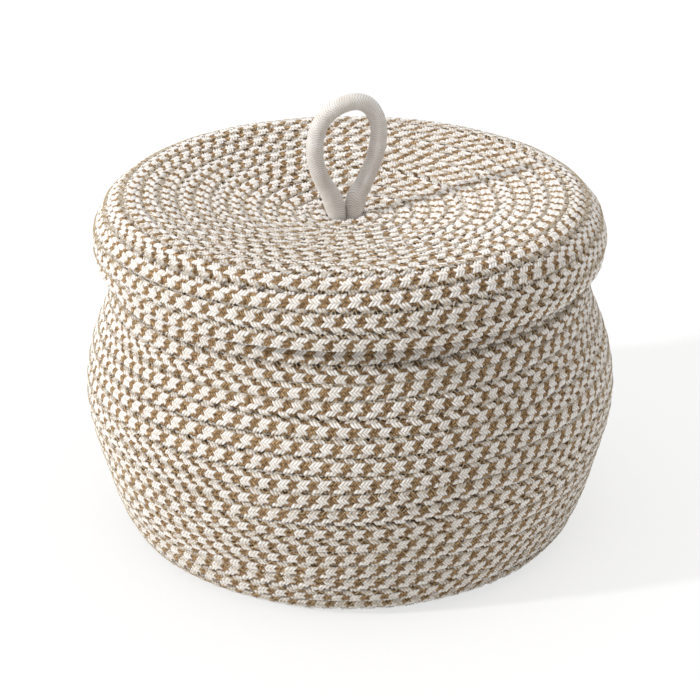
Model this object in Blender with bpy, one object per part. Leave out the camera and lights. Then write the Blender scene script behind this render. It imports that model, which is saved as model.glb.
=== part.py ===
"""Round lidded storage basket, coiled from braided cotton rope.

One rope winds out from the middle of the base, turns up at the foot and climbs the wall to the mouth.
A second rope winds out from the lid's eye and turns down at its rim, so that the lid sits over the neck.
A cord loop stands in the eye as the handle, and its two tails lie under the lid.
Each coil is one unbroken spiral tube with six sides. Metres, +Z up, origin under the base's middle.
"""

import math

import bmesh
import bpy
import numpy as np
from mathutils import Matrix, Vector

# Rope of the basket and the lid
rope_diameter = 0.0080
basket_pitch = 0.0080
lid_pitch = 0.0079
seam_gap = 0.0005
flat_share = 0.475
points_per_turn = 18
coarse_radius = 0.0660
butt_gap = 0.0003
cut_end_shares = (0.6, 0.85)

# Basket, at the middle of its rope: steps outwards and upwards from one place of its profile to the next
base_start_radius = 0.0046
base_flat_radius = 0.0948
underside_cut_share = 0.1
heel_out = 0.0106
heel_rise = 0.0063
flank_out = 0.0102
flank_rise = 0.0290
belly_out = 0.0062
belly_rise = 0.0295
upper_out = -0.0026
upper_rise = 0.0225
shoulder_out = -0.0094
shoulder_rise = 0.0260
waist_out = -0.0016
waist_rise = 0.0110
neck_out = -0.0068
neck_rise = 0.0135
mouth_rise = 0.0145
basket_rope_start = math.radians(78)

# Lid, at the middle of its rope: steps from the crest that rests on the mouth
lid_seat_gap = 0.0003
lid_dish_depth = 0.0127
lid_dish_radius = 0.0200
lid_slope_radius = 0.0650
lid_slope_share = 0.58
lid_shoulder_out = 0.0077
lid_shoulder_drop = 0.0030
lid_skirt_drop = 0.0125
lid_skirt_clearance = 0.0060
lid_hem_rise = 0.0096
lid_hem_clearance = 0.0025
lid_rope_start = math.radians(40)

# Handle cord, whose loop is turned about the lid's axis
handle_turn = math.radians(20)
cord_diameter = 0.0075
leg_gap = 0.0004
cord_point_step_share = 0.75
eye_offset_y = 0.0006
pivot_above_lid = 0.0050
loop_height = 0.0494
loop_width = 0.0309
tail_reach = 0.0300
tail_clearance = 0.0009

# Places along the loop, as shares of its width and height, from the left leg over to the right leg
loop_shares = (
    (-0.25, 0.085),
    (-0.4, 0.285),
    (-0.475, 0.46),
    (-0.48, 0.62),
    (-0.43, 0.77),
    (-0.29, 0.895),
    (-0.06, 0.975),
    (0.19, 0.99),
    (0.39, 0.925),
    (0.515, 0.77),
    (0.525, 0.61),
    (0.46, 0.42),
    (0.3, 0.18),
    (0.2, 0.07),
)

# Colours of the yarn, linear
rope_colour = (0.58, 0.46, 0.34, 1.0)
cord_colour = (0.78, 0.74, 0.68, 1.0)
cotton_roughness = 0.9

# Rope: neighbouring courses touch, but for the seam's gap
rope_flat = flat_share * rope_diameter
rope_corner = (min(basket_pitch, lid_pitch) - seam_gap) / 2

# Basket's profile
base_height = (0.5 - underside_cut_share) * rope_diameter
heel_radius = base_flat_radius + heel_out
heel_height = base_height + heel_rise
flank_radius = heel_radius + flank_out
flank_height = heel_height + flank_rise
belly_radius = flank_radius + belly_out
belly_height = flank_height + belly_rise
upper_radius = belly_radius + upper_out
upper_height = belly_height + upper_rise
shoulder_radius = upper_radius + shoulder_out
shoulder_height = upper_height + shoulder_rise
waist_radius = shoulder_radius + waist_out
waist_height = shoulder_height + waist_rise
neck_radius = waist_radius + neck_out
neck_height = waist_height + neck_rise
mouth_height = neck_height + mouth_rise
last_full_height = mouth_height - len(cut_end_shares) * basket_pitch / points_per_turn

# Handle cord and the bend of its tails round the eye's first course
cord_radius = cord_diameter / 2
leg_offset = (cord_diameter + leg_gap) / 2
tail_bend_radius = cord_radius + rope_flat + tail_clearance
eye_offset_x = -lid_pitch / 4

# Lid's profile: its eye lets both legs through, its skirt clears the neck and its hem the waist
eye_turn_share = (lid_rope_start - handle_turn + math.pi / 2) / math.tau
lid_eye_radius = leg_offset + tail_bend_radius - eye_turn_share * lid_pitch
lid_crest_height = last_full_height + rope_corner + lid_seat_gap + rope_flat
lid_dish_height = lid_crest_height - lid_dish_depth
lid_shoulder_radius = neck_radius + lid_shoulder_out
lid_skirt_radius = neck_radius + 2 * rope_flat + lid_skirt_clearance
lid_hem_radius = (waist_radius + neck_radius) / 2 + 2 * rope_flat + lid_hem_clearance
lid_hem_height = waist_height + lid_hem_rise
pivot_height = lid_dish_height + rope_flat + pivot_above_lid
tail_height = lid_dish_height - tail_bend_radius


def clear_scene():
    for old in list(bpy.data.objects):
        bpy.data.objects.remove(old, do_unlink=True)


def cotton(name, colour):
    """Matt cotton yarn in its own colour."""
    material = bpy.data.materials.new(name)
    material.use_nodes = True
    shader = material.node_tree.nodes["Principled BSDF"]
    shader.inputs["Base Color"].default_value = colour
    shader.inputs["Roughness"].default_value = cotton_roughness
    shader.inputs["Metallic"].default_value = 0.0
    return material


def body_origin(name, location):
    """An empty on a body's axis, which carries the body's pieces."""
    origin = bpy.data.objects.new(name, None)
    bpy.context.scene.collection.objects.link(origin)
    origin.location = location
    return origin


def carry(name, data, material, origin):
    """Makes an object of a mesh or curve that is drawn in the basket's frame, and hangs it on its body."""
    data.transform(Matrix.Translation(-origin.location))
    data.materials.append(material)
    piece = bpy.data.objects.new(name, data)
    bpy.context.scene.collection.objects.link(piece)
    piece.parent = origin
    return piece


def smooth_run(points, first_direction, last_direction, steps=40):
    """A smooth curve of short chords through the points, leaving and arriving along the directions."""
    points = np.array(points, float)
    lengths = np.linalg.norm(np.diff(points, axis=0), axis=1)
    at = np.concatenate([[0], np.cumsum(lengths)])
    slopes = np.empty_like(points)
    slopes[1:-1] = (points[2:] - points[:-2]) / (at[2:] - at[:-2])[:, None]
    slopes[0] = first_direction
    slopes[-1] = last_direction
    share = np.linspace(0, 1, steps, endpoint=False)[:, None]
    near = 2 * share**3 - 3 * share**2 + 1
    leave = share**3 - 2 * share**2 + share
    arrive = share**3 - share**2
    run = []
    for i, length in enumerate(lengths):
        chord = near * points[i] + (1 - near) * points[i + 1]
        run.append(chord + length * (leave * slopes[i] + arrive * slopes[i + 1]))
    return np.concatenate(run + [points[-1:]])


def lengths_along(line):
    return np.concatenate([[0], np.cumsum(np.linalg.norm(np.diff(line, axis=0), axis=1))])


def basket_meridian():
    """Radius and height along the basket: flat base, rounded foot, belly, shoulder, upright neck."""
    wall = [
        (base_flat_radius, base_height),
        (heel_radius, heel_height),
        (flank_radius, flank_height),
        (belly_radius, belly_height),
        (upper_radius, upper_height),
        (shoulder_radius, shoulder_height),
        (waist_radius, waist_height),
        (neck_radius, neck_height),
        (neck_radius, mouth_height),
    ]
    start = [(base_start_radius, base_height)]
    return np.concatenate([start, smooth_run(wall, (1, 0), (0, 1))])


def lid_meridian():
    """Radius and height along the lid: dished top, crest over the neck, rounded rim, short skirt."""
    return smooth_run(
        [
            (lid_eye_radius, lid_dish_height),
            (lid_dish_radius, lid_dish_height),
            (lid_slope_radius, lid_dish_height + lid_slope_share * lid_dish_depth),
            (neck_radius, lid_crest_height),
            (lid_shoulder_radius, lid_crest_height - lid_shoulder_drop),
            (lid_skirt_radius, lid_crest_height - lid_skirt_drop),
            (lid_hem_radius, lid_hem_height),
        ],
        (1, 0),
        (0, -1),
    )


def wind(meridian, pitch, start_angle, sense, outer_side):
    """The stations of a rope that climbs the meridian by one pitch a turn.

    Each station has the rope's middle, the direction out of the basket's skin, the direction across
    the course, and the rope's own direction. Close to the middle every second station is left out.
    """
    at = lengths_along(meridian)
    step = pitch / points_per_turn
    stations = []
    for k in range(int(at[-1] / step) + 1):
        radius, height = (np.interp(k * step, at, column) for column in meridian.T)
        if radius < coarse_radius and k % 2:
            continue
        before, after = (
            np.array([np.interp(k * step + side * step, at, column) for column in meridian.T])
            for side in (-1, 1)
        )
        across, up = (after - before) / np.linalg.norm(after - before)
        angle = start_angle + sense * math.tau * k / points_per_turn
        spoke = np.array([math.cos(angle), math.sin(angle), 0])
        rise = np.array([0, 0, 1])
        stations.append(
            {
                "run": k * step,
                "middle": radius * spoke + height * rise,
                "out": outer_side * (across * rise - up * spoke),
                "across": across * spoke + up * rise,
                "ahead": sense * np.array([-math.sin(angle), math.cos(angle), 0]),
            }
        )
    return stations


def rope_mesh(name, stations, first_shares=(), last_shares=(), first_shift=0, last_shift=0):
    """One closed six-sided tube through the stations, flat towards the skin's two sides.

    Corners meet the next course across the seam's gap. The floor presses the underside flat. A cut
    end is drawn in by its shares, and a butted end is moved back from the rope that it meets.
    """
    section = (
        (rope_flat, rope_corner / 2),
        (0, rope_corner),
        (-rope_flat, rope_corner / 2),
        (-rope_flat, -rope_corner / 2),
        (0, -rope_corner),
        (rope_flat, -rope_corner / 2),
    )
    shares = [1.0] * len(stations)
    shares[: len(first_shares)] = first_shares
    shares[len(shares) - len(last_shares) :] = reversed(last_shares)
    shifts = [0] * len(stations)
    shifts[0] = first_shift
    shifts[-1] = last_shift
    mesh = bpy.data.meshes.new(name)
    tube = bmesh.new()
    rings = []
    for station, share, shift in zip(stations, shares, shifts):
        middle = station["middle"] + shift * station["ahead"]
        ring = []
        for out, across in section:
            corner = middle + share * (out * station["out"] + across * station["across"])
            corner[2] = max(corner[2], 0)
            ring.append(tube.verts.new(corner))
        rings.append(ring)
    for ring, following in zip(rings, rings[1:]):
        for i in range(len(section)):
            j = (i + 1) % len(section)
            tube.faces.new((ring[i], ring[j], following[j], following[i]))
    tube.faces.new(rings[0])
    tube.faces.new(rings[-1])
    bmesh.ops.recalc_face_normals(tube, faces=tube.faces)
    tube.to_mesh(mesh)
    tube.free()
    mesh.shade_smooth()
    return mesh


def print_least_gap(name, pitch, stations):
    """Prints a coil's turns and the least gap between two of them, from corner to corner."""
    outer, inner = (
        np.array([station["middle"] + side * rope_corner * station["across"] for station in stations])
        for side in (1, -1)
    )
    runs = np.array([station["run"] for station in stations])
    starts = inner[:-1]
    chords = np.diff(inner, axis=0)
    least = math.inf
    for share in np.linspace(0, 1, 5):
        for run, corner in zip(runs, outer[:-1] + share * np.diff(outer, axis=0)):
            later = runs[:-1] > run + pitch / 2
            if later.any():
                start, chord = starts[later], chords[later]
                reach = ((corner - start) * chord).sum(axis=1) / (chord**2).sum(axis=1)
                nearest = start + np.clip(reach, 0, 1)[:, None] * chord
                least = min(least, np.linalg.norm(nearest - corner, axis=1).min())
    turns = (runs[-1] - runs[0]) / pitch
    print(f"{name}: {turns:.1f} turns, least gap to itself {least * 1000:.2f} mm")


def cord_curve(name, line, radii, sides=2):
    """A round cord with a radius at each point. Its line is turned into the handle's plane."""
    curve = bpy.data.curves.new(name, "CURVE")
    curve.dimensions = "3D"
    curve.bevel_depth = cord_radius
    curve.bevel_resolution = sides
    curve.use_fill_caps = True
    spline = curve.splines.new("POLY")
    spline.points.add(len(line) - 1)
    for point, place, radius in zip(spline.points, line, radii):
        point.co = (*place, 1)
        point.radius = radius / cord_radius
    curve.transform(Matrix.Rotation(handle_turn, 4, "Z"))
    return curve


def loop_line():
    """Middle of the loop's cord from the left leg's pivot to the right leg's, and radii with ball ends."""
    route = [(eye_offset_x - leg_offset, pivot_height)]
    for across, up in loop_shares:
        route.append((eye_offset_x + across * loop_width, pivot_height + up * loop_height))
    route.append((eye_offset_x + leg_offset, pivot_height))
    run = smooth_run(route, (0, 1), (0, -1))
    at = lengths_along(run)
    count = round(at[-1] / (cord_point_step_share * cord_diameter))
    places = [[np.interp(d, at, column) for column in run.T] for d in np.linspace(0, at[-1], count + 1)]
    ball = [math.radians(angle) for angle in (70, 35)]
    below = [(math.sin(angle) * cord_radius, math.cos(angle) * cord_radius) for angle in ball]
    left = [(places[0][0], pivot_height - drop) for drop, radius in below]
    right = [(places[-1][0], pivot_height - drop) for drop, radius in reversed(below)]
    narrow = [radius for drop, radius in below]
    line = [(x, eye_offset_y, z) for x, z in left + places + right]
    return line, narrow + [cord_radius] * len(places) + narrow[::-1]


def tail_line(side):
    """Middle of a tail: down through the eye, round a quarter bend and out under the lid."""
    leg = eye_offset_x + side * leg_offset
    line = [(leg, eye_offset_y, pivot_height - cord_radius - butt_gap)]
    for angle in np.radians(np.linspace(0, 90, 5)):
        line.append(
            (
                leg + side * tail_bend_radius * (1 - math.cos(angle)),
                eye_offset_y,
                tail_height + tail_bend_radius * (1 - math.sin(angle)),
            )
        )
    line.append((leg + side * tail_reach, eye_offset_y, tail_height))
    return line, [cord_radius] * len(line)


def build_basket(rope):
    origin = body_origin("basket_axis", (0, 0, 0))
    stations = wind(basket_meridian(), basket_pitch, basket_rope_start, 1, -1)
    base_run = base_flat_radius - base_start_radius
    split = next(i for i, station in enumerate(stations) if station["run"] >= base_run)
    base, wall = stations[: split + 1], stations[split:]
    half_gap = butt_gap / 2
    base_mesh = rope_mesh("base_coil", base, first_shares=cut_end_shares, last_shift=-half_gap)
    wall_mesh = rope_mesh("wall_coil", wall, last_shares=cut_end_shares, first_shift=half_gap)
    carry("base_coil", base_mesh, rope, origin)
    carry("wall_coil", wall_mesh, rope, origin)
    print_least_gap("base_coil", basket_pitch, base)
    print_least_gap("wall_coil", basket_pitch, wall)


def build_lid(rope, cord):
    origin = body_origin("lid_axis", (0, 0, mouth_height))
    stations = wind(lid_meridian(), lid_pitch, lid_rope_start, -1, 1)
    mesh = rope_mesh("lid_coil", stations, first_shares=cut_end_shares, last_shares=cut_end_shares)
    carry("lid_coil", mesh, rope, origin)
    print_least_gap("lid_coil", lid_pitch, stations)
    for name, side in (("cord_tail_left", -1), ("cord_tail_right", 1)):
        carry(name, cord_curve(name, *tail_line(side)), cord, origin)


def build_handle(cord):
    pivot = Matrix.Rotation(handle_turn, 4, "Z") @ Vector((eye_offset_x, eye_offset_y, pivot_height))
    origin = body_origin("handle_pivot", pivot)
    carry("handle_loop", cord_curve("handle_loop", *loop_line()), cord, origin)


clear_scene()
braided_rope = cotton("braided_cotton_rope", rope_colour)
braided_cord = cotton("braided_cotton_cord", cord_colour)
build_basket(braided_rope)
build_lid(braided_rope, braided_cord)
build_handle(braided_cord)
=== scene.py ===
"""Looks of the coiled rope basket: its braided ropes, their sewing threads and its cord handle."""
import math

import bpy
import numpy as np
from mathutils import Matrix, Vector


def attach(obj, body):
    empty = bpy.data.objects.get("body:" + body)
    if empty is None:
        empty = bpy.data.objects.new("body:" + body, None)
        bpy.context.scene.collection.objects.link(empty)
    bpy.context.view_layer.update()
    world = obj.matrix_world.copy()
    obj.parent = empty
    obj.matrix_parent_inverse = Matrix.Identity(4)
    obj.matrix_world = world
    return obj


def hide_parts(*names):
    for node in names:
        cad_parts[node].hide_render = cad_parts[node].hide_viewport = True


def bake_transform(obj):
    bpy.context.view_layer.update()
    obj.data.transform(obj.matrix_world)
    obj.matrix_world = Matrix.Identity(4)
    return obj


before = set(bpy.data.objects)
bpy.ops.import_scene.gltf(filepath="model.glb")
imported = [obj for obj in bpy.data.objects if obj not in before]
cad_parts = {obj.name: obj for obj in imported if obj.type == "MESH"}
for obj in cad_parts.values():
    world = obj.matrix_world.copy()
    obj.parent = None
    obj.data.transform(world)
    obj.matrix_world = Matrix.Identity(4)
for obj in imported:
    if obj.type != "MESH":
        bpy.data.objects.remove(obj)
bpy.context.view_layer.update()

# Basket rope
# One rope of 8 mm: a soft core in a tubular braid of 24 cotton yarns, half undyed and half tan, over two and
# under two, which sets white stars between tan diamonds. It is coiled from the middle of the base out and up
# to the mouth, and each course is sewn to the last.

MM = 0.001


def srgb(code):
    """An sRGB hex value as a linear colour."""
    parts = [int(code[i : i + 2], 16) / 255 for i in (1, 3, 5)]
    return tuple(p / 12.92 if p <= 0.04045 else ((p + 0.055) / 1.055) ** 2.4 for p in parts) + (1.0,)


def add_node(tree, kind, settings=(), inputs=(), links=()):
    """Adds a node with its settings, its input values and the outputs that feed it."""
    node = tree.nodes.new(kind)
    for name, value in dict(settings).items():
        setattr(node, name, value)
    for key, value in dict(inputs).items():
        node.inputs[key].default_value = value
    for key, output in dict(links).items():
        tree.links.new(output, node.inputs[key])
    return node


# A yarn is some 1.5 mm wide. Its plies lie about 0.4 mm apart and its fibres are 0.02 mm thick: the plies are
# drawn a little coarser and the fibres as clumps of fuzz, because neither would show at its real size.
YARN_WIDTH = 1.5 * MM
PLY_SPACING = 0.5236 * MM
FUZZ_SIZE = MM / 2.4
RIB_HEIGHT = 0.1 * MM
WAVE_REPEAT = math.tau / 10  # of a wave texture at scale 1


def cotton_yarn(name, pale, deep, groove_shade_colour, shade, patch):
    """Spun cotton, matt with a trace of sheen from loose fibres.

    Its tint drifts from pale to deep in patches of this size. Towards the edges of each yarn a painted shade
    in the groove shade colour takes over, by the share that shade gives, for the dark that falls between
    yarns; its plies stand up as slanting ribs.
    """
    material = bpy.data.materials.new(name)
    material.use_nodes = True
    tree = material.node_tree
    shader = tree.nodes["Principled BSDF"]
    solid = add_node(tree, "ShaderNodeTexCoord").outputs["Object"]
    along_yarn = add_node(tree, "ShaderNodeUVMap", {"uv_map": "yarn"}).outputs["UV"]
    drift = add_node(
        tree, "ShaderNodeTexNoise", {}, {"Scale": 1 / patch, "Detail": 2.0, "Roughness": 0.6},
        {"Vector": solid},
    )
    spread = add_node(
        tree, "ShaderNodeMapRange", {}, {"From Min": 0.3, "From Max": 0.7}, {"Value": drift.outputs["Fac"]}
    )
    tint = add_node(
        tree, "ShaderNodeMix", {"data_type": "RGBA"}, {6: srgb(pale), 7: srgb(deep)},
        {0: spread.outputs[0]},
    )
    apart = add_node(tree, "ShaderNodeSeparateXYZ", {}, {}, {0: along_yarn})
    from_middle = []
    for axis in (0, 1):
        share = add_node(tree, "ShaderNodeMath", {"operation": "FRACT"}, {}, {0: apart.outputs[axis]})
        offset = add_node(tree, "ShaderNodeMath", {"operation": "SUBTRACT"}, {1: 0.5}, {0: share.outputs[0]})
        size = add_node(tree, "ShaderNodeMath", {"operation": "ABSOLUTE"}, {}, {0: offset.outputs[0]})
        from_middle.append(size.outputs[0])
    edge = add_node(tree, "ShaderNodeMath", {"operation": "MAXIMUM"}, {}, dict(enumerate(from_middle)))
    # Painted shade: the colour darkens towards each yarn's edges, where the grooves between yarns lie in
    # shade.
    painted_groove_shade = add_node(
        tree, "ShaderNodeMapRange", {"interpolation_type": "SMOOTHSTEP"},
        {"From Min": 0.28, "From Max": 0.5, "To Max": shade}, {"Value": edge.outputs[0]},
    )
    colour = add_node(
        tree, "ShaderNodeMix", {"data_type": "RGBA"}, {7: srgb(groove_shade_colour)},
        {0: painted_groove_shade.outputs[0], 6: tint.outputs[2]},
    )
    ribs = WAVE_REPEAT * YARN_WIDTH / PLY_SPACING
    plies = add_node(
        tree, "ShaderNodeTexWave", {"bands_direction": "DIAGONAL"},
        {"Scale": ribs, "Distortion": 1.2, "Detail": 1.0, "Detail Scale": 2.0}, {"Vector": along_yarn},
    )
    fuzz = add_node(
        tree, "ShaderNodeTexNoise", {}, {"Scale": 1 / FUZZ_SIZE, "Detail": 2.0}, {"Vector": solid}
    )
    height = add_node(
        tree, "ShaderNodeMath", {"operation": "MULTIPLY_ADD"}, {1: 0.6},
        {0: fuzz.outputs["Fac"], 2: plies.outputs["Fac"]},
    )
    bump = add_node(
        tree, "ShaderNodeBump", {}, {"Strength": 0.5, "Distance": RIB_HEIGHT}, {"Height": height.outputs[0]}
    )
    tree.links.new(colour.outputs[2], shader.inputs["Base Color"])
    tree.links.new(bump.outputs["Normal"], shader.inputs["Normal"])
    shader.inputs["Roughness"].default_value = 0.9
    shader.inputs["IOR"].default_value = 1.47
    shader.inputs["Specular IOR Level"].default_value = 0.2
    shader.inputs["Sheen Weight"].default_value = 0.1
    shader.inputs["Sheen Roughness"].default_value = 0.5
    return material


# Undyed yarn, spun soft from several plies: creamy white and mottled at about its own width, with a brown
# painted shade only deep between yarns, where little light gets in.
undyed_cotton = cotton_yarn("undyed_cotton_yarn", "#FCFAF7", "#E4DBD1", "#6E5030", 0.5, 5 / 3 * MM)
# The same yarn, dyed tan in the hank: the dye takes unevenly, so it is mottled from sand to brown, and the
# yarns lie low in the braid, so their grooves get a nearly black painted shade.
tan_cotton = cotton_yarn("tan_cotton_yarn", "#D0AE82", "#5F4225", "#24150A", 0.88, 1.25 * MM)


def smooth_run(points, first_direction, last_direction, steps=40):
    """A smooth curve through the points as short chords, leaving and arriving along the given directions."""
    points = np.array(points, float)
    lengths = np.linalg.norm(np.diff(points, axis=0), axis=1)
    at = np.concatenate([[0], np.cumsum(lengths)])
    slopes = np.empty_like(points)
    slopes[1:-1] = (points[2:] - points[:-2]) / (at[2:] - at[:-2])[:, None]
    slopes[0] = first_direction
    slopes[-1] = last_direction
    share = np.linspace(0, 1, steps, endpoint=False)[:, None]
    near = 2 * share**3 - 3 * share**2 + 1
    leave = share**3 - 2 * share**2 + share
    arrive = share**3 - share**2
    run = []
    for i, length in enumerate(lengths):
        chord = near * points[i] + (1 - near) * points[i + 1]
        run.append(chord + length * (leave * slopes[i] + arrive * slopes[i + 1]))
    return np.concatenate(run + [points[-1:]])


def along(line):
    """Length along a line of points, at each point."""
    return np.concatenate([[0], np.cumsum(np.linalg.norm(np.diff(line, axis=0), axis=1))])


def pick(at, where, rows):
    """The rows' values at these places along."""
    return np.stack([np.interp(where, at, column) for column in rows.T], axis=-1)


WANDER_WAVES = MM * np.array([37, 53, 89, 150])
WANDER_OUT = 0.35 * MM
WANDER_ASIDE = 0.12 * MM
ROLL = math.radians(60)
ROLL_SLOWER = 5
POINTS_A_TURN = 120


def unsteady(at, size, rng):
    """A slow wander along the rope, as hands and a sewing machine leave it."""
    turns = at[:, None] / WANDER_WAVES + rng.random(len(WANDER_WAVES))
    return size * np.sin(math.tau * turns).mean(axis=1)[:, None]


def coil(meridian, pitch, start_angle, sense, outer_side):
    """A rope that climbs the meridian by one pitch a turn: its middle, its way out of the skin and across.

    Its sense is 1 where it turns anticlockwise, seen from above. Its outer side is 1 where the outside of the
    skin is the upper side of the meridian's first stretch, and -1 where it is the lower.
    """
    at = along(meridian)
    turn = np.arange(0, at[-1] / pitch, 1 / POINTS_A_TURN)
    radius, height = pick(at, turn * pitch, meridian).T
    nearby = pitch / 18
    slope = pick(at, turn * pitch + nearby, meridian) - pick(at, turn * pitch - nearby, meridian)
    across, up = (slope / np.linalg.norm(slope, axis=1)[:, None]).T
    angle = start_angle + sense * math.tau * turn
    spoke = np.stack([np.cos(angle), np.sin(angle), 0 * angle], axis=1)
    rise = np.array([0.0, 0.0, 1.0])
    middle = radius[:, None] * spoke + height[:, None] * rise
    out = outer_side * (across[:, None] * rise - up[:, None] * spoke)
    side = across[:, None] * spoke + up[:, None] * rise
    rng = np.random.default_rng(3)
    at = along(middle)
    middle = middle + unsteady(at, WANDER_OUT, rng) * out + unsteady(at, WANDER_ASIDE, rng) * side
    roll = unsteady(at / ROLL_SLOWER, ROLL, rng)
    return {"turn": turn, "at": at, "middle": middle, "out": out, "side": side, "roll": roll}


def quad_mesh(name, points, quads, uv_layers):
    """A smooth piece of quads over these points. Each UV layer has a value for each corner of each quad."""
    mesh = bpy.data.meshes.new(name)
    mesh.vertices.add(points.size // 3)
    mesh.vertices.foreach_set("co", points.astype(np.float32).ravel())
    mesh.loops.add(quads.size)
    mesh.loops.foreach_set("vertex_index", quads.astype(np.int32).ravel())
    mesh.polygons.add(quads.size // 4)
    mesh.polygons.foreach_set("loop_start", np.arange(0, quads.size, 4, dtype=np.int32))
    mesh.polygons.foreach_set("use_smooth", np.ones(quads.size // 4, bool))
    for layer, values in uv_layers.items():
        mesh.uv_layers.new(name=layer).data.foreach_set("uv", values.astype(np.float32).ravel())
    mesh.update(calc_edges=True)
    piece = bpy.data.objects.new(name, mesh)
    bpy.context.scene.collection.objects.link(piece)
    return piece


def crease_grooves(mesh, columns, rows):
    """Stops smooth shading in the grooves between yarns, the even columns, so that each yarn is round."""
    ends = np.empty(len(mesh.edges) * 2, np.int32)
    mesh.edges.foreach_get("vertices", ends)
    column = ends.reshape(-1, 2) // rows % columns
    crease = (column[:, 0] == column[:, 1]) & (column[:, 0] % 2 == 0)
    mesh.attributes.new("sharp_edge", "BOOLEAN", "EDGE").data.foreach_set("value", crease)


# The dressed rope is a little fuller than the solid, so that courses touch. Round it lie 12 lines of floats,
# the short stretches of yarn that show, and every other line leans the other way.
ROPE_RADIUS = 4.1 * MM
PRESSED = 4.0  # power of its section: 2 is round, more is squarer, as courses press each other
FULLER_ASIDE = 1.09
LINES = 12
LINE_STEP = math.tau / LINES
FIRST_LINE = 0.75
FLOAT_ROWS = np.array([-0.66, 0.0, 0.66])  # points across a float, in steps of a line
FLOAT_DOME = MM * np.array([-0.5, 0.0, -0.5])  # both its ends dive under the next lines

# Along a line, each period of the pattern has three undyed yarns and then three tan ones.
YARNS = 6
COLUMNS = 2 * YARNS  # of points in a period: the groove before each yarn, then its crown
PERIOD_SPREAD = 0.04
CROWN, GROOVE, COLOUR_CHANGE = 0.2 * MM, -0.45 * MM, -0.85 * MM  # heights over the rope's radius
CROWN_SPREAD = 0.07 * MM
TAN_SUNK, TAN_SUNK_AT_SEAM = 0.36 * MM, 1.0 * MM

# Where each line lies in the square of the bake layer.
LINE_MARGIN = 0.04
SIDE_MARGIN = 0.002


def braid_periods(path, period, rng):
    """Where each period of the braid begins along the rope, and where the last one ends."""
    count = round(path["at"][-1] / period)
    edges = np.concatenate([[0], np.cumsum(rng.normal(1, PERIOD_SPREAD, count))])
    return edges * path["at"][-1] / edges[-1]


def braid(name, path, periods, first, last, undyed, lowest=-math.inf):
    """The rope's sleeve between two periods, with this share of each period undyed."""
    rng = np.random.default_rng(first + 1)
    line = np.arange(LINES)[:, None, None]
    lean = np.where(line % 2, -1.0, 1.0)

    # Where every column of points lies, counted in periods. The first piece starts a period early, to reach
    # the rope's end in every line.
    half = COLUMNS // 2
    shares = np.concatenate([undyed * np.arange(half), undyed * half + (1 - undyed) * np.arange(half)]) / half
    number = np.arange(first - (first == 0), last)
    count = len(number) * COLUMNS
    start = np.where(line % 2, -0.25 - line, 1.25 + line) / YARNS - undyed / 2
    phase = np.append((np.arange(len(number))[:, None] + shares).ravel(), len(number))[:, None]
    phase = phase + number[0] + start % 1 + lean * FLOAT_ROWS / YARNS
    where = np.interp(phase, np.arange(len(periods)), periods)

    # Crowns and grooves. Tan yarns lie lower, and lowest at the seams, where the thread pulls them in.
    step = np.arange(count + 1) % COLUMNS
    tan = (step >= half) & (np.arange(count + 1) < count)
    is_crown = step % 2
    at_seam = np.abs(np.sin(LINE_STEP * (line + FIRST_LINE))) ** 4
    relief = np.where(is_crown, CROWN, np.where(step % half, GROOVE, COLOUR_CHANGE))[:, None]
    relief = relief - (TAN_SUNK + TAN_SUNK_AT_SEAM * at_seam) * (tan & (step != half))[:, None]
    relief = relief + is_crown[:, None] * rng.normal(0, CROWN_SPREAD, (LINES, count + 1, 1))

    # Points of the sleeve, which closes in a round nose at both ends of the rope.
    from_end = np.minimum(where, path["at"][-1] - where)
    closed = np.sqrt(1 - (1 - np.clip(from_end / ROPE_RADIUS, 0, 1)) ** 2)
    angle = LINE_STEP * (FLOAT_ROWS + line + FIRST_LINE) + pick(path["at"], where, path["roll"])[..., 0]
    section = np.abs(np.cos(angle)) ** PRESSED + np.abs(np.sin(angle) / FULLER_ASIDE) ** PRESSED
    reach = (ROPE_RADIUS * section ** (-1 / PRESSED) + relief + FLOAT_DOME) * closed
    middle, out, side = (pick(path["at"], where, path[key]) for key in ("middle", "out", "side"))
    points = middle + reach[..., None] * (np.cos(angle)[..., None] * out + np.sin(angle)[..., None] * side)
    points[..., 2] = np.maximum(points[..., 2], lowest)

    columns, rows = count + 1, len(FLOAT_ROWS)
    k, c, r = np.meshgrid(np.arange(LINES), np.arange(count), np.arange(rows - 1), indexing="ij")
    corner = (k * columns + c) * rows + r
    quads = np.stack([corner, corner + rows, corner + rows + 1, corner + 1], axis=-1)

    # In the yarn layer each yarn is one unit wide and one long. In the bake layer the sleeve is folded into
    # bands that fill a square.
    u = np.stack([c, c + 1, c + 1, c], axis=-1)
    v = np.stack([r, r, r + 1, r + 1], axis=-1) / (rows - 1)
    yarn = np.stack([u / 2, v + 2 * k[..., None]], axis=-1)
    folds = max(1, round(math.sqrt((periods[last] - periods[first]) / (math.tau * ROPE_RADIUS))))
    fold_columns = math.ceil(count / folds)
    fold = (c // fold_columns)[..., None]
    band_u = SIDE_MARGIN + (1 - 2 * SIDE_MARGIN) * (u - fold * fold_columns) / fold_columns
    band_v = (fold + (k[..., None] + LINE_MARGIN + (1 - 2 * LINE_MARGIN) * v) / LINES) / folds
    sleeve = quad_mesh(name, points, quads, {"yarn": yarn, "OFBake": np.stack([band_u, band_v], axis=-1)})
    sleeve.data.polygons.foreach_set("material_index", tan[c].ravel().astype(np.int32))
    crease_grooves(sleeve.data, columns, rows)
    sleeve.data.materials.append(undyed_cotton)
    sleeve.data.materials.append(tan_cotton)
    return sleeve


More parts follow.
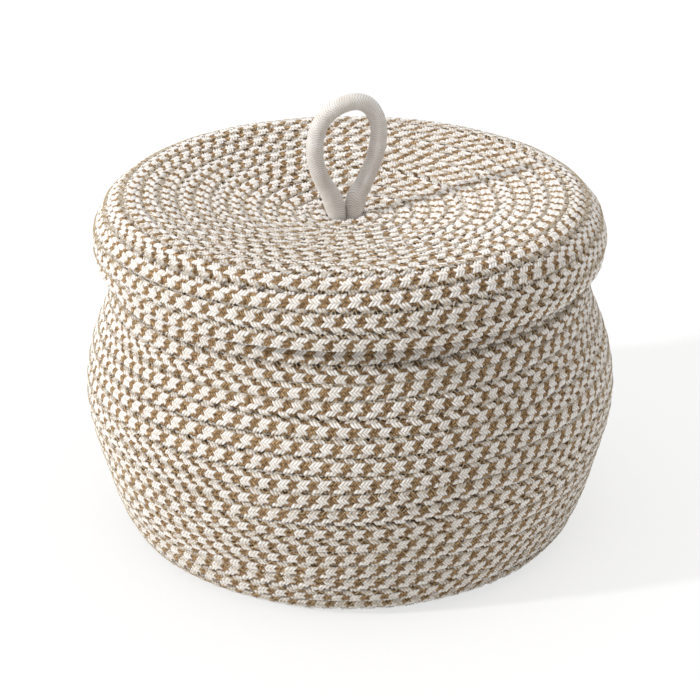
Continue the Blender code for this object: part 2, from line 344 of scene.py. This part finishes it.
BASKET_PITCH = 8.0 * MM
BASKET_START = math.radians(-124.5)
BASKET_PERIOD = 8.6 * MM
BASKET_UNDYED = 0.54
BASE_LOWEST = 0.1 * MM  # the base's rope is pressed flat against the floor
ROPE_START = 0.1 * MM, 3.2 * MM
BASE_EDGE = 94.8 * MM, 3.2 * MM
WALL_PROFILE = MM * np.array(
    [
        (105.4, 9.5), (115.6, 38.5), (121.8, 68.0), (119.2, 90.5),
        (109.8, 116.5), (108.2, 127.5), (101.4, 141.0), (101.4, 155.5),
    ]
)
wall_meridian = smooth_run(np.concatenate([[BASE_EDGE], WALL_PROFILE]), (1, 0), (0, 1))
basket_path = coil(np.concatenate([[ROPE_START], wall_meridian]), BASKET_PITCH, BASKET_START, 1, -1)
basket_periods = braid_periods(basket_path, BASKET_PERIOD, np.random.default_rng(5))
base_turns = (BASE_EDGE[0] - ROPE_START[0]) / BASKET_PITCH
base_length = np.interp(base_turns, basket_path["turn"], basket_path["at"])

# The sleeve is cut between periods into pieces that are light enough to export whole.
base_end = int(np.searchsorted(basket_periods, base_length))
wall_count = len(basket_periods) - 1 - base_end
cuts = [0, base_end * 5 // 9] + [base_end + wall_count * k // 6 for k in range(7)]
names = ["base_braid_1", "base_braid_2"] + [f"wall_braid_{k}" for k in range(1, 7)]
for name, first, last in zip(names, cuts, cuts[1:]):
    sleeve = braid(name, basket_path, basket_periods, first, last, BASKET_UNDYED, BASE_LOWEST)
    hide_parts("base_coil" if name.startswith("base") else "wall_coil")
    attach(sleeve, "basket")

# Basket thread
# Ecru cotton thread of 0.34 mm. A machine zigzags it over every seam, into one course and then into the next,
# so that it bridges the dark gap between them. The base's stitches, which face the floor, are left out.

# Sewing thread, twisted hard: even in tint, a little darker than the yarns, and too thin to show a groove of
# its own.
thread_cotton = cotton_yarn("ecru_sewing_thread", "#D8C6A8", "#BFA880", "#BFA880", 0.0, 5.88 * MM)
THREAD_RADIUS = 0.17 * MM
STITCH = 4.2 * MM  # out and back
STITCH_SPREAD = 0.04 * STITCH
STITCH_OUT = 3.9 * MM  # where it goes into a course, from the middle of the rope
STITCH_OUT_SPREAD = 0.06 * MM
STITCH_ASIDE = 2.9 * MM
STITCH_BOW = 0.35 * MM
SEAM_END = 1.02  # turns before the rope's end: the last turn has no next course


def zigzag(name, path, first_turn, last_turn):
    """Stitches that join each turn to the next: bowed runs of thread between the two courses, to and fro."""
    rng = np.random.default_rng(9)
    start, end = np.interp((first_turn, last_turn), path["turn"], path["at"])
    places = np.arange(start, end, STITCH / 2)
    places = places + rng.normal(0, STITCH_SPREAD, len(places))
    beyond = np.interp(np.interp(places, path["at"], path["turn"]) + 1, path["turn"], path["at"])
    here, there = (
        [pick(path["at"], where, path[key]) for key in ("middle", "out", "side")]
        for where in (places, beyond)
    )
    stitch_out = (STITCH_OUT + rng.normal(0, STITCH_OUT_SPREAD, len(places)))[:, None]
    near = here[0] + stitch_out * here[1] + STITCH_ASIDE * here[2]
    far = there[0] + stitch_out * there[1] - STITCH_ASIDE * there[2]
    odd = (np.arange(len(places)) % 2 == 1)[:, None]
    ends = np.where(odd, far, near)
    line = np.empty((2 * len(ends) - 1, 3))
    line[::2], line[1::2] = ends, (ends[:-1] + ends[1:]) / 2 + STITCH_BOW * here[1][:-1]
    out = pick(np.arange(len(ends)), np.arange(len(line)) / 2, here[1])
    ahead = np.gradient(line, axis=0)
    ahead /= np.linalg.norm(ahead, axis=1)[:, None]
    side = np.cross(ahead, out)
    side /= np.linalg.norm(side, axis=1)[:, None]
    around = np.radians([0, 90, 180, 270])[:, None]
    sides = len(around)
    points = line[:, None] + THREAD_RADIUS * (
        np.cos(around) * np.cross(side, ahead)[:, None] + np.sin(around) * side[:, None]
    )
    c, r = np.meshgrid(np.arange(len(line) - 1), np.arange(sides), indexing="ij")
    ring = (r + 1) % sides
    quads = np.stack([c * sides + r, c * sides + ring, (c + 1) * sides + ring, (c + 1) * sides + r], axis=-1)
    whole_face = np.tile([(0, 0), (1, 0), (1, 1), (0, 1)], (quads.size // 4, 1))
    thread = quad_mesh(name, points, quads, {"yarn": whole_face})
    thread.data.materials.append(thread_cotton)
    return thread


wall_thread = zigzag(
    "wall_thread", basket_path, first_turn=base_turns + 0.6, last_turn=basket_path["turn"][-1] - SEAM_END
)
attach(wall_thread, "basket")

# Lid rope
# A second rope of the same braid, wound the other way from the lid's eye out and turned down over the neck as
# a short skirt. It is given more undyed yarn than the basket's rope, a painted lightness for the lid's top
# under the overhead lamp. Its courses are drawn in from the front and from behind, against the cord in the
# eye.

LID_PITCH = 7.9 * MM
LID_START = math.radians(40)
LID_PERIOD = 8.45 * MM
# A larger undyed share than the basket's: painted light, which makes the lid lighter as if lit from above.
LID_UNDYED_WITH_PAINTED_LIGHT = 0.565
LID_PROFILE = MM * np.array(
    [
        (9.986, 149.711), (20.0, 149.711), (65.0, 157.077), (101.4, 162.411),
        (109.1, 159.411), (115.0, 149.911), (114.9, 137.1),
    ]
)
LOOP_TURN = math.radians(20)  # of the handle's plane, about the lid's axis
EYE_RADIUS = 12 * MM
DRAWN_IN_OVER = 75 * MM  # from the eye out
DRAWN_FROM_BEHIND, DRAWN_FROM_FRONT = -5.0 * MM, 3.6 * MM
lid_path = coil(smooth_run(LID_PROFILE, (1, 0), (0, -1)), LID_PITCH, LID_START, -1, 1)
across_loop = np.array([-math.sin(LOOP_TURN), math.cos(LOOP_TURN), 0])
aside = lid_path["middle"] @ across_loop
from_axis = np.hypot(lid_path["middle"][:, 0], lid_path["middle"][:, 1])
fading = np.clip(1 - (from_axis - EYE_RADIUS) / DRAWN_IN_OVER, 0, 1) ** 1.5
drawn = np.where(aside > 0, DRAWN_FROM_BEHIND, DRAWN_FROM_FRONT) * fading * (aside / from_axis) ** 2
lid_path["middle"] += drawn[:, None] * across_loop
lid_periods = braid_periods(lid_path, LID_PERIOD, np.random.default_rng(6))
lid_end = len(lid_periods) - 1
cuts = [0, lid_end // 3, lid_end * 2 // 3, lid_end]
for name, first, last in zip(("lid_braid_eye", "lid_braid_top", "lid_braid_skirt"), cuts, cuts[1:]):
    sleeve = braid(name, lid_path, lid_periods, first, last, LID_UNDYED_WITH_PAINTED_LIGHT)
    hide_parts("lid_coil")
    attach(sleeve, "lid")

# Lid thread
# The same ecru cotton thread, zigzagged by machine over every seam of the lid from the eye to the last course
# of the skirt.

lid_thread = zigzag("lid_thread", lid_path, first_turn=0.1, last_turn=lid_path["turn"][-1] - SEAM_END)
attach(lid_thread, "lid")

# Handle cord
# A solid braided cord of undyed cotton, 8 mm thick as it is dressed here, with fine stitches in four files.
# It stands in the lid's eye as a loop, pinched where the courses hold it. Its two tails lie under the lid.

# Undyed yarn, braided tight: near white and even, with only a soft grey-brown painted shade in the fine
# grooves.
cord_cotton = cotton_yarn("undyed_cotton_cord", "#ECE9E6", "#DCD6CF", "#86765F", 0.5, 5.88 * MM)
CORD_RADIUS = 4.0 * MM
RIB = 1.1 * MM  # along the cord, from stitch to stitch
RIB_LEAN = 1.3 * MM * np.tile([0.0, -0.5, -1.0, -0.5], 4)
RIB_CROWN, RIB_GROOVE = 0.06 * MM, -0.16 * MM
FILE_EDGE = MM * np.tile([-0.02, 0.0, -0.06, 0.0], 4)
CORD_POINTS = 600
EYE = MM * np.array([-1.975, 0.6, 158.511])
LEG = 3.95 * MM  # from the eye's middle to each leg
LOOP_WIDTH, LOOP_HEIGHT = 30.9 * MM, 49.4 * MM
LOOP_SHARES = (
    (-0.225, 0.085), (-0.39, 0.285), (-0.475, 0.46), (-0.48, 0.62), (-0.43, 0.77), (-0.29, 0.895),
    (-0.06, 0.975), (0.19, 0.99), (0.39, 0.925), (0.515, 0.77), (0.525, 0.61), (0.46, 0.42),
    (0.29, 0.18), (0.185, 0.07),
)
TAIL_BEND = 8.45 * MM
TAIL_REACH = 30 * MM
TAIL_HEIGHT = 141.261 * MM
PINCH = 0.24
PINCH_HEIGHT, PINCH_SPREAD = 160 * MM, 6 * MM

# The cord's line in the plane of the loop, across and up from the eye: left tail, loop and right tail.
drop = TAIL_HEIGHT - EYE[2]
above = [(x * LOOP_WIDTH, z * LOOP_HEIGHT) for x, z in LOOP_SHARES]
loop = smooth_run([(-LEG, drop + TAIL_BEND)] + above + [(LEG, drop + TAIL_BEND)], (0, 1), (0, -1))
quarter = np.radians(np.linspace(0, 90, 25))
right_tail = np.array(
    [(LEG + TAIL_BEND * (1 - math.cos(a)), drop + TAIL_BEND * (1 - math.sin(a))) for a in quarter]
    + [(LEG + TAIL_REACH, drop)]
)
left_tail = (right_tail * (-1, 1))[::-1]
flat_line = np.concatenate([left_tail, loop, right_tail])
apart = np.linalg.norm(np.diff(flat_line, axis=0), axis=1)
flat_line = flat_line[np.append(True, apart > 1e-7)]  # without doubled points
flat_at = along(flat_line)
flat_line = pick(flat_at, np.linspace(0, flat_at[-1], CORD_POINTS), flat_line)
ahead = np.gradient(flat_line, axis=0)
ahead /= np.linalg.norm(ahead, axis=1)[:, None]


def upright(line):
    """The line with a zero between its two coordinates, as points of an upright plane."""
    return np.insert(line, 1, 0.0, axis=1)


plane = np.array([[math.cos(LOOP_TURN), math.sin(LOOP_TURN), 0], across_loop, [0, 0, 1]])
middle = (upright(flat_line) + EYE) @ plane
out = np.tile([0.0, -1.0, 0.0], (CORD_POINTS, 1)) @ plane
pinched = 1 + PINCH * np.exp(-(((middle[:, 2:] - PINCH_HEIGHT) / PINCH_SPREAD) ** 2))
side = np.cross(out, upright(ahead) @ plane) * pinched
cord_path = {"at": along(middle), "middle": middle, "out": out, "side": side}


def cord_braid(name, path):
    """The cord's sleeve: files of leaning stitches, each a ring of crowns and then a ring of grooves."""
    columns, rows = 2 * round(path["at"][-1] / RIB) + 1, len(RIB_LEAN)
    angles = (math.tau * np.arange(rows) / rows)[:, None]
    places = np.linspace(0, path["at"][-1], columns)[:, None]
    from_end = np.minimum(places, path["at"][-1] - places)
    where = np.clip(places + RIB_LEAN, 0, path["at"][-1])
    relief = np.where(np.arange(columns) % 2, RIB_CROWN, RIB_GROOVE)[:, None] + FILE_EDGE
    reach = (CORD_RADIUS + relief) * np.sqrt(1 - (1 - np.clip(from_end / CORD_RADIUS, 0, 1)) ** 2)
    middle, out, side = (pick(path["at"], where, path[key]) for key in ("middle", "out", "side"))
    points = middle + reach[..., None] * (np.cos(angles) * out + np.sin(angles) * side)
    c, r = np.meshgrid(np.arange(columns - 1), np.arange(rows), indexing="ij")
    ring = (r + 1) % rows
    quads = np.stack([c * rows + r, (c + 1) * rows + r, (c + 1) * rows + ring, c * rows + ring], axis=-1)
    u = np.stack([c, c + 1, c + 1, c], axis=-1) / 2
    sleeve = quad_mesh(name, points, quads, {"yarn": np.stack([u, np.full_like(u, 0.5)], axis=-1)})
    crease_grooves(sleeve.data, columns, rows)
    sleeve.data.materials.append(cord_cotton)
    return sleeve


cord = cord_braid("handle_cord", cord_path)
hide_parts("handle_loop", "cord_tail_left", "cord_tail_right")
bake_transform(cord)

# Camera, floor and light
# A product photograph: the camera looks down by 25 degrees from a metre away, onto a sweep of white paper. A
# key lamp stands at the left and a little in front, and a wide one overhead fills the shadows.

CAMERA_ELEVATION = math.radians(24.74)
CAMERA_AIM = 83.34 * MM  # above the floor
CAMERA_LENS = 106.9
scene = bpy.context.scene
scene.view_settings.view_transform = "Standard"
camera = bpy.data.objects.new("camera", bpy.data.cameras.new("camera"))
scene.collection.objects.link(camera)
scene.camera = camera
camera.data.sensor_width = 36
camera.data.lens = CAMERA_LENS
camera.data.clip_start = 0.05
camera.location = (0, -math.cos(CAMERA_ELEVATION), CAMERA_AIM + math.sin(CAMERA_ELEVATION))
camera.rotation_euler = (math.pi / 2 - CAMERA_ELEVATION, 0, 0)

# Matt paper, nearly white, that glows for the camera and in reflections, and still takes the object's shadow.
PAPER_GLOW = 0.7
bpy.ops.mesh.primitive_plane_add(size=8)
floor = bpy.context.object
floor.name = "floor"
sweep = bpy.data.materials.new("white_paper")
sweep.use_nodes = True
tree = sweep.node_tree
paper = tree.nodes["Principled BSDF"]
paper.inputs["Base Color"].default_value = srgb("#F4F4F2")
paper.inputs["Roughness"].default_value = 0.9
rays = add_node(tree, "ShaderNodeLightPath").outputs
seen = add_node(
    tree, "ShaderNodeMath", {"operation": "ADD"}, {},
    {0: rays["Is Camera Ray"], 1: rays["Is Glossy Ray"]},
)
seen = add_node(
    tree, "ShaderNodeMath", {"operation": "ADD", "use_clamp": True}, {},
    {0: seen.outputs[0], 1: rays["Is Transmission Ray"]},
)
share = add_node(tree, "ShaderNodeMath", {"operation": "MULTIPLY"}, {1: PAPER_GLOW}, {0: seen.outputs[0]})
glow = add_node(tree, "ShaderNodeEmission", {}, {"Color": srgb("#FFFFFF"), "Strength": 1.0})
both = add_node(
    tree, "ShaderNodeMixShader", {}, {}, {0: share.outputs[0], 1: paper.outputs[0], 2: glow.outputs[0]}
)
tree.links.new(both.outputs[0], tree.nodes["Material Output"].inputs["Surface"])
floor.data.materials.append(sweep)

# The room's even light, which the camera sees as plain white.
ROOM_LIGHT = 0.48
world = bpy.data.worlds.new("studio")
scene.world = world
world.use_nodes = True
tree = world.node_tree
background = tree.nodes["Background"]
background.inputs["Color"].default_value = srgb("#FFFFFF")
rays = add_node(tree, "ShaderNodeLightPath").outputs
strength = add_node(
    tree, "ShaderNodeMapRange", {}, {"To Min": ROOM_LIGHT, "To Max": 1.0},
    {"Value": rays["Is Camera Ray"]},
)
tree.links.new(strength.outputs[0], background.inputs["Strength"])

# Each lamp's energy is what lights the palest yarns just short of white.
key = bpy.data.objects.new("key", bpy.data.lights.new("key", "SUN"))
scene.collection.objects.link(key)
key.data.energy = 2.4
key.data.angle = math.radians(4)
key.rotation_euler = Vector((-81, -30, 43)).to_track_quat("Z", "Y").to_euler()

overhead = bpy.data.objects.new("overhead", bpy.data.lights.new("overhead", "SUN"))
scene.collection.objects.link(overhead)
overhead.data.energy = 1.25
overhead.data.angle = math.radians(70)
